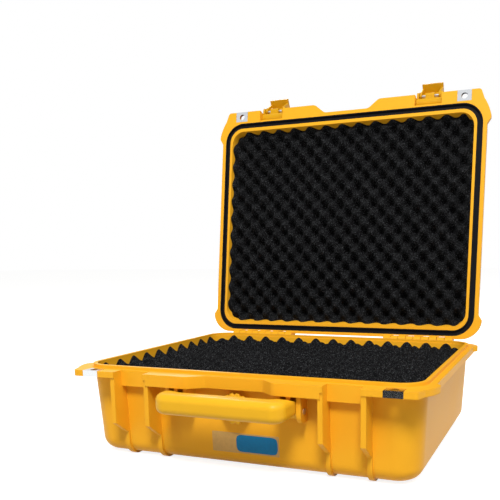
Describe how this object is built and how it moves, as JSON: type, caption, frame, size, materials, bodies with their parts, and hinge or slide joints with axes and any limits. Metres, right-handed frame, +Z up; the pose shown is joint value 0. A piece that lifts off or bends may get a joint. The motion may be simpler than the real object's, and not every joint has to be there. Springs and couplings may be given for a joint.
{
  "type": "defibrillator carry case",
  "caption": "Hard moulded carry case for a portable defibrillator, shown open: foam-lined base and lid on knuckle hinges, over-centre latches, folding handle, pressure valve and padlock guards.",
  "frame": {"origin": "on the floor under the middle of the open case's box, level with the faces of the foot ribs", "axes": "+X to the right of someone facing the handle, +Y from the handle to the hinges, +Z up"},
  "size_m": [0.43, 0.4831, 0.4837],
  "materials": {
    "shell_plastic": "fine moulded texture, satin",
    "fitting_plastic": "satin",
    "gasket": "satin",
    "foam": "open-cell foam",
    "pin_steel": "brushed",
    "guard_steel": "bright",
    "front_label": "plain sheet with a blue block",
    "lid_label": "plain green sheet"
  },
  "bodies": {
    "base": {"base_shell": "shell_plastic", "base_foam_pad": "foam", "base_foam_block": "foam", "base_foam_top": "foam", "hinge_pin_left": "pin_steel", "hinge_pin_right": "pin_steel", "handle_pin_left": "pin_steel", "handle_pin_right": "pin_steel", "padlock_guard_base_left": "guard_steel", "padlock_guard_base_right": "guard_steel", "valve_body": "shell_plastic", "valve_seal": "gasket", "front_label": "front_label"},
    "lid": {"lid_shell": "shell_plastic", "lid_gasket": "gasket", "lid_foam": "foam", "padlock_guard_lid_left": "guard_steel", "padlock_guard_lid_right": "guard_steel", "latch_pivot_pin_left": "pin_steel", "latch_pivot_pin_right": "pin_steel", "lid_label": "lid_label"},
    "link_left": {"latch_link_left": "fitting_plastic", "latch_lever_pin_left": "pin_steel"},
    "link_right": {"latch_link_right": "fitting_plastic", "latch_lever_pin_right": "pin_steel"},
    "lever_left": {"latch_lever_left": "fitting_plastic"},
    "lever_right": {"latch_lever_right": "fitting_plastic"},
    "handle": {"handle": "fitting_plastic"},
    "valve_knob": {"valve_knob": "fitting_plastic"}
  },
  "joints": [
    {"name": "lid_hinge", "type": "hinge", "parent": "base", "child": "lid", "pos_m": [0, 0.15005, 0.1057], "axis": [1, 0, 0], "range_deg": [0, 97.8]},
    {"name": "latch_link_left_swing", "type": "hinge", "parent": "lid", "child": "link_left", "pos_m": [-0.1252, 0.2132, 0.45032], "axis": [1, 0, 0], "range_deg": [0, 90]},
    {"name": "latch_lever_left_swing", "type": "hinge", "parent": "link_left", "child": "lever_left", "pos_m": [-0.1252, 0.21483, 0.46221], "axis": [1, 0, 0], "range_deg": [0, 55]},
    {"name": "latch_link_right_swing", "type": "hinge", "parent": "lid", "child": "link_right", "pos_m": [0.1252, 0.2132, 0.45032], "axis": [1, 0, 0], "range_deg": [0, 90]},
    {"name": "latch_lever_right_swing", "type": "hinge", "parent": "link_right", "child": "lever_right", "pos_m": [0.1252, 0.21483, 0.46221], "axis": [1, 0, 0], "range_deg": [0, 55]},
    {"name": "handle_fold", "type": "hinge", "parent": "base", "child": "handle", "pos_m": [0, -0.19495, 0.075], "axis": [1, 0, 0], "range_deg": [0, 90]},
    {"name": "valve_turn", "type": "hinge", "parent": "base", "child": "valve_knob", "pos_m": [0, -0.18771, 0.071], "axis": [0, 1, 0], "range_deg": [0, 180]}
  ]
}
